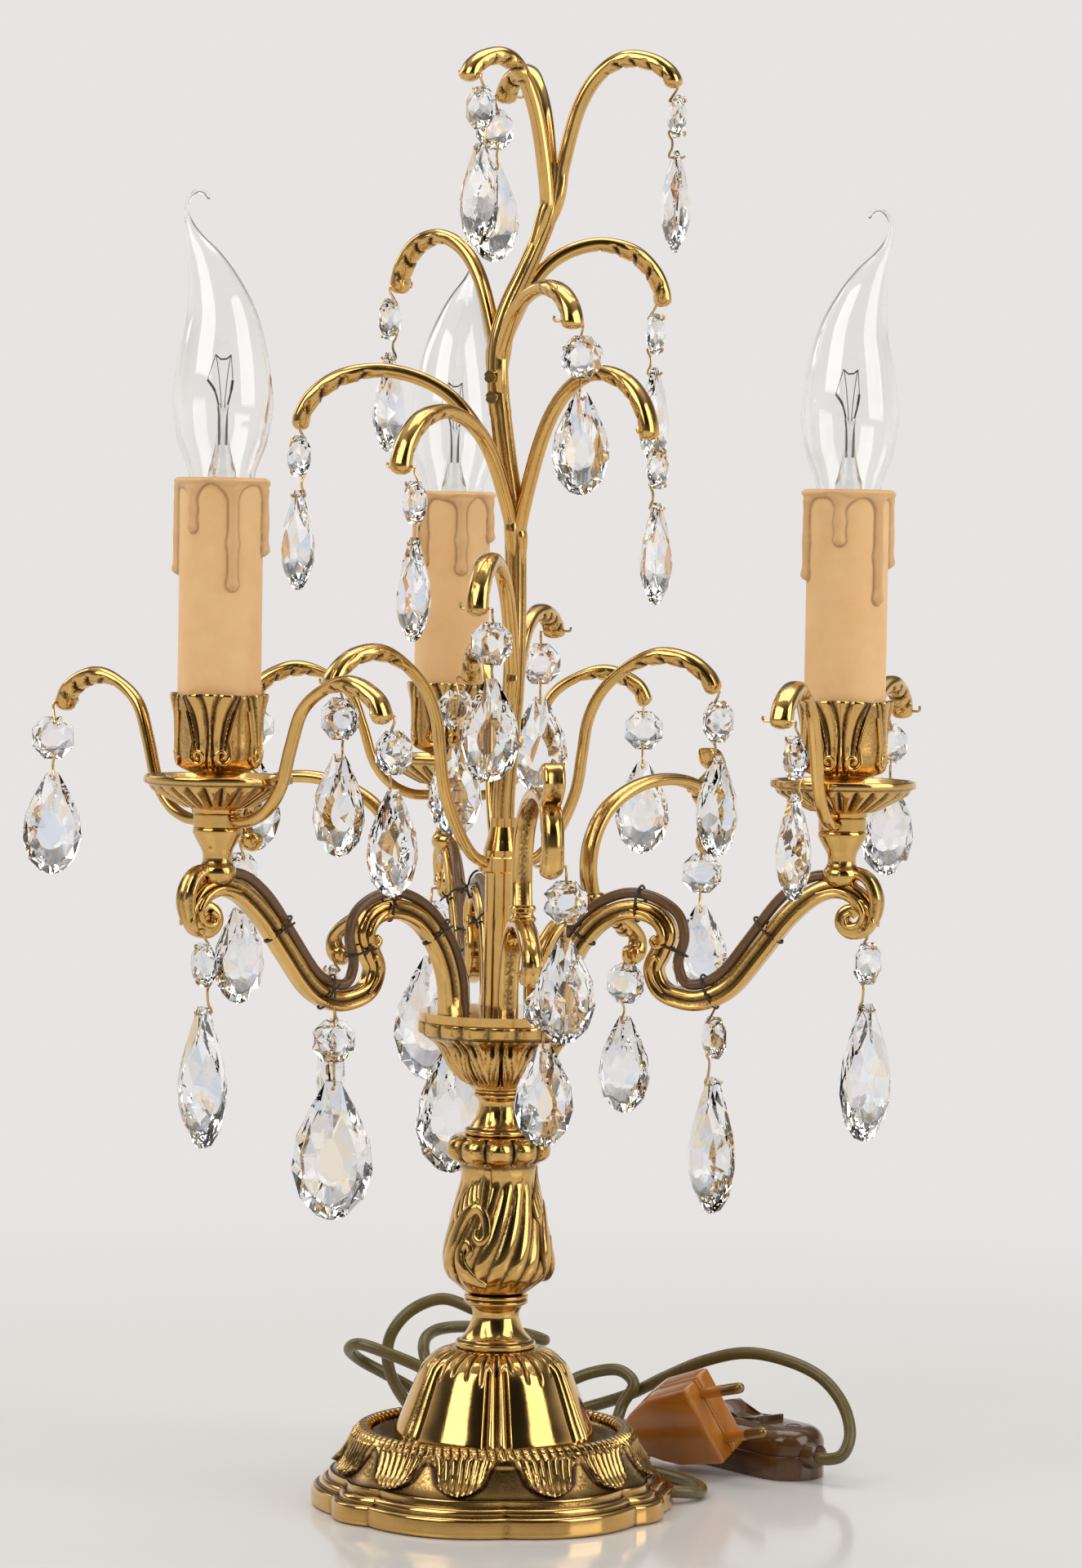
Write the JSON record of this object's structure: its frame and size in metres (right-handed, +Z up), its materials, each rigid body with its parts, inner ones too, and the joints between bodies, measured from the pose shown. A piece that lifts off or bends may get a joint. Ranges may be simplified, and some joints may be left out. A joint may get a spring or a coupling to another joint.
{
  "type": "girandole table candelabrum",
  "caption": "Cast brass girandole table lamp with candle arms, a branching centre tree, hanging crystal drops, flame bulbs and a mains cord with switch and plug.",
  "frame": {"origin": "on the table under the middle of the base, on the axis of the stem", "axes": "+Z up the stem, +X to the right and +Y away from the camera as pictured; the front is -Y"},
  "size_m": [0.3015, 0.2697, 0.4944],
  "materials": {
    "brass": "polished cast brass with dark patina in the hollows",
    "dark_brass": "dull",
    "felt": "felt",
    "cable": "satin",
    "candle_wax": "waxy, with moulded drips",
    "holder": "satin",
    "crystal": "faceted clear crystal on brass wire",
    "bulb_glass": "clear glass",
    "switch_brown": "gloss",
    "plug_amber": "translucent amber"
  },
  "bodies": {
    "lamp": {"base_casting": "brass", "base_pad": "felt", "column_spools": "brass", "baluster": "brass", "leaf_cup": "brass", "arm_plate": "brass", "centre_tube": "brass", "centre_spider": "brass", "tree_ferrule": "brass", "tree_lower": "brass", "tree_upper": "brass", "candle_arms": "brass", "arm_cables": "cable", "scroll_brackets": "brass", "candle_spiders": "brass", "drip_pans": "brass", "candle_cups": "brass", "candle_sleeves": "candle_wax", "lampholders": "holder", "fasteners": "dark_brass", "cord_to_switch": "cable", "cord_to_plug": "cable", "switch_housing": "switch_brown", "plug": "plug_amber"},
    "bulb_left": {"bulb_left": "bulb_glass"},
    "bulb_right": {"bulb_right": "bulb_glass"},
    "bulb_back": {"bulb_back": "bulb_glass"},
    "drop_top_left": {"drop_top_left": "crystal"},
    "drop_top_back": {"drop_top_back": "crystal"},
    "drop_top_right": {"drop_top_right": "crystal"},
    "drop_high_left": {"drop_high_left": "crystal"},
    "drop_high_right": {"drop_high_right": "crystal"},
    "drop_high_front": {"drop_high_front": "crystal"},
    "drop_mid_left": {"drop_mid_left": "crystal"},
    "drop_mid_front": {"drop_mid_front": "crystal"},
    "drop_mid_right": {"drop_mid_right": "crystal"},
    "drop_low_front": {"drop_low_front": "crystal"},
    "drop_low_back": {"drop_low_back": "crystal"},
    "drop_centre_left": {"drop_centre_left": "crystal"},
    "drop_centre_right": {"drop_centre_right": "crystal"},
    "drop_centre_back": {"drop_centre_back": "crystal"},
    "drop_candle_left_outer": {"drop_candle_left_outer": "crystal"},
    "drop_candle_left_inner": {"drop_candle_left_inner": "crystal"},
    "drop_candle_right_rear": {"drop_candle_right_rear": "crystal"},
    "drop_candle_right_front": {"drop_candle_right_front": "crystal"},
    "drop_candle_back_right": {"drop_candle_back_right": "crystal"},
    "drop_candle_back_left": {"drop_candle_back_left": "crystal"},
    "drop_arm_end_left": {"drop_arm_end_left": "crystal"},
    "drop_arm_end_right": {"drop_arm_end_right": "crystal"},
    "drop_arm_end_back": {"drop_arm_end_back": "crystal"},
    "drop_arm_mid_left": {"drop_arm_mid_left": "crystal"},
    "drop_arm_mid_right": {"drop_arm_mid_right": "crystal"},
    "drop_arm_mid_back": {"drop_arm_mid_back": "crystal"},
    "drop_scroll_high_front": {"drop_scroll_high_front": "crystal"},
    "drop_scroll_high_right": {"drop_scroll_high_right": "crystal"},
    "drop_scroll_high_left": {"drop_scroll_high_left": "crystal"},
    "drop_scroll_low_front": {"drop_scroll_low_front": "crystal"},
    "drop_scroll_low_right": {"drop_scroll_low_right": "crystal"},
    "drop_scroll_low_left": {"drop_scroll_low_left": "crystal"},
    "switch_rocker": {"switch_rocker": "switch_brown"}
  },
  "joints": [
    {"name": "bulb_left_turn", "type": "hinge", "parent": "lamp", "child": "bulb_left", "pos_m": [-0.09193, -0.07713, 0.346], "axis": [0, 0, 1], "range_deg": [0, 1800]},
    {"name": "bulb_right_turn", "type": "hinge", "parent": "lamp", "child": "bulb_right", "pos_m": [0.11276, -0.04104, 0.346], "axis": [0, 0, 1], "range_deg": [0, 1800]},
    {"name": "bulb_back_turn", "type": "hinge", "parent": "lamp", "child": "bulb_back", "pos_m": [-0.02084, 0.11818, 0.346], "axis": [0, 0, 1], "range_deg": [0, 1800]},
    {"name": "drop_top_left_swing", "type": "hinge", "parent": "lamp", "child": "drop_top_left", "pos_m": [-0.01429, -0.02523, 0.4844], "axis": [0.6691, -0.7431, 0], "range_deg": [-20, 20]},
    {"name": "drop_top_back_swing", "type": "hinge", "parent": "lamp", "child": "drop_top_back", "pos_m": [-0.00249, 0.03196, 0.4829], "axis": [-0.8829, -0.4695, 0], "range_deg": [-20, 20]},
    {"name": "drop_top_right_swing", "type": "hinge", "parent": "lamp", "child": "drop_top_right", "pos_m": [0.05307, -0.01409, 0.4844], "axis": [0.342, 0.9397, 0], "range_deg": [-20, 20]},
    {"name": "drop_high_left_swing", "type": "hinge", "parent": "lamp", "child": "drop_high_left", "pos_m": [-0.0387, 0.02905, 0.4169], "axis": [-0.6428, -0.766, 0], "range_deg": [-20, 20]},
    {"name": "drop_high_right_swing", "type": "hinge", "parent": "lamp", "child": "drop_high_right", "pos_m": [0.05067, 0.01455, 0.4129], "axis": [-0.2588, 0.9659, 0], "range_deg": [-20, 20]},
    {"name": "drop_high_front_swing", "type": "hinge", "parent": "lamp", "child": "drop_high_front", "pos_m": [0.01967, -0.04261, 0.4019], "axis": [0.866, 0.5, 0], "range_deg": [-20, 20]},
    {"name": "drop_mid_left_swing", "type": "hinge", "parent": "lamp", "child": "drop_mid_left", "pos_m": [-0.07082, 0.00991, 0.3689], "axis": [-0.1392, -0.9903, 0], "range_deg": [-20, 20]},
    {"name": "drop_mid_front_swing", "type": "hinge", "parent": "lamp", "child": "drop_mid_front", "pos_m": [-0.03432, -0.05636, 0.3529], "axis": [0.8387, -0.5446, 0], "range_deg": [-20, 20]},
    {"name": "drop_mid_right_swing", "type": "hinge", "parent": "lamp", "child": "drop_mid_right", "pos_m": [0.04645, -0.03677, 0.3659], "axis": [0.6428, 0.766, 0], "range_deg": [-20, 20]},
    {"name": "drop_low_front_swing", "type": "hinge", "parent": "lamp", "child": "drop_low_front", "pos_m": [-0.00915, -0.04559, 0.3069], "axis": [0.9659, -0.2588, 0], "range_deg": [-20, 20]},
    {"name": "drop_low_back_swing", "type": "hinge", "parent": "lamp", "child": "drop_low_back", "pos_m": [0.01642, 0.03684, 0.2989], "axis": [-0.9397, 0.342, 0], "range_deg": [-20, 20]},
    {"name": "drop_centre_left_swing", "type": "hinge", "parent": "lamp", "child": "drop_centre_left", "pos_m": [-0.05715, -0.04795, 0.28155], "axis": [0.6428, -0.766, 0], "range_deg": [-20, 20]},
    {"name": "drop_centre_right_swing", "type": "hinge", "parent": "lamp", "child": "drop_centre_right", "pos_m": [0.0701, -0.02551, 0.28155], "axis": [0.342, 0.9397, 0], "range_deg": [-20, 20]},
    {"name": "drop_centre_back_swing", "type": "hinge", "parent": "lamp", "child": "drop_centre_back", "pos_m": [-0.01295, 0.07347, 0.28155], "axis": [-0.9848, -0.1736, 0], "range_deg": [-20, 20]},
    {"name": "drop_candle_left_outer_swing", "type": "hinge", "parent": "lamp", "child": "drop_candle_left_outer", "pos_m": [-0.14677, -0.03111, 0.27325], "axis": [-0.6428, -0.766, 0], "range_deg": [-20, 20]},
    {"name": "drop_candle_left_inner_swing", "type": "hinge", "parent": "lamp", "child": "drop_candle_left_inner", "pos_m": [-0.03708, -0.12316, 0.27325], "axis": [0.6428, 0.766, 0], "range_deg": [-20, 20]},
    {"name": "drop_candle_right_rear_swing", "type": "hinge", "parent": "lamp", "child": "drop_candle_right_rear", "pos_m": [0.13725, 0.02624, 0.27325], "axis": [-0.9397, 0.342, 0], "range_deg": [-20, 20]},
    {"name": "drop_candle_right_front_swing", "type": "hinge", "parent": "lamp", "child": "drop_candle_right_front", "pos_m": [0.08828, -0.10832, 0.27325], "axis": [0.9397, -0.342, 0], "range_deg": [-20, 20]},
    {"name": "drop_candle_back_right_swing", "type": "hinge", "parent": "lamp", "child": "drop_candle_back_right", "pos_m": [0.05049, 0.12442, 0.27325], "axis": [-0.0872, 0.9962, 0], "range_deg": [-20, 20]},
    {"name": "drop_candle_back_left_swing", "type": "hinge", "parent": "lamp", "child": "drop_candle_back_left", "pos_m": [-0.09216, 0.11194, 0.27325], "axis": [0.0872, -0.9962, 0], "range_deg": [-20, 20]},
    {"name": "drop_arm_end_left_swing", "type": "hinge", "parent": "lamp", "child": "drop_arm_end_left", "pos_m": [-0.09821, -0.08241, 0.2025], "axis": [0.6428, -0.766, 0], "range_deg": [-20, 20]},
    {"name": "drop_arm_end_right_swing", "type": "hinge", "parent": "lamp", "child": "drop_arm_end_right", "pos_m": [0.12047, -0.04385, 0.2025], "axis": [0.342, 0.9397, 0], "range_deg": [-20, 20]},
    {"name": "drop_arm_end_back_swing", "type": "hinge", "parent": "lamp", "child": "drop_arm_end_back", "pos_m": [-0.02226, 0.12625, 0.2025], "axis": [-0.9848, -0.1736, 0], "range_deg": [-20, 20]},
    {"name": "drop_arm_mid_left_swing", "type": "hinge", "parent": "lamp", "child": "drop_arm_mid_left", "pos_m": [-0.05745, -0.04821, 0.1752], "axis": [0.6428, -0.766, 0], "range_deg": [-20, 20]},
    {"name": "drop_arm_mid_right_swing", "type": "hinge", "parent": "lamp", "child": "drop_arm_mid_right", "pos_m": [0.07048, -0.02565, 0.1752], "axis": [0.342, 0.9397, 0], "range_deg": [-20, 20]},
    {"name": "drop_arm_mid_back_swing", "type": "hinge", "parent": "lamp", "child": "drop_arm_mid_back", "pos_m": [-0.01302, 0.07386, 0.1752], "axis": [-0.9848, -0.1736, 0], "range_deg": [-20, 20]},
    {"name": "drop_scroll_high_front_swing", "type": "hinge", "parent": "lamp", "child": "drop_scroll_high_front", "pos_m": [0.01657, -0.09395, 0.2251], "axis": [0.9848, 0.1736, 0], "range_deg": [-20, 20]},
    {"name": "drop_scroll_high_right_swing", "type": "hinge", "parent": "lamp", "child": "drop_scroll_high_right", "pos_m": [0.07308, 0.06132, 0.2251], "axis": [-0.6428, 0.766, 0], "range_deg": [-20, 20]},
    {"name": "drop_scroll_high_left_swing", "type": "hinge", "parent": "lamp", "child": "drop_scroll_high_left", "pos_m": [-0.08965, 0.03263, 0.2251], "axis": [-0.342, -0.9397, 0], "range_deg": [-20, 20]},
    {"name": "drop_scroll_low_front_swing", "type": "hinge", "parent": "lamp", "child": "drop_scroll_low_front", "pos_m": [0.01049, -0.05948, 0.1875], "axis": [0.9848, 0.1736, 0], "range_deg": [-20, 20]},
    {"name": "drop_scroll_low_right_swing", "type": "hinge", "parent": "lamp", "child": "drop_scroll_low_right", "pos_m": [0.04627, 0.03882, 0.1875], "axis": [-0.6428, 0.766, 0], "range_deg": [-20, 20]},
    {"name": "drop_scroll_low_left_swing", "type": "hinge", "parent": "lamp", "child": "drop_scroll_low_left", "pos_m": [-0.05676, 0.02066, 0.1875], "axis": [-0.342, -0.9397, 0], "range_deg": [-20, 20]},
    {"name": "switch_rock", "type": "hinge", "parent": "lamp", "child": "switch_rocker", "pos_m": [0.091, 0.077, 0.0135], "axis": [-0.788, -0.6157, 0], "range_deg": [0, 10]}
  ]
}
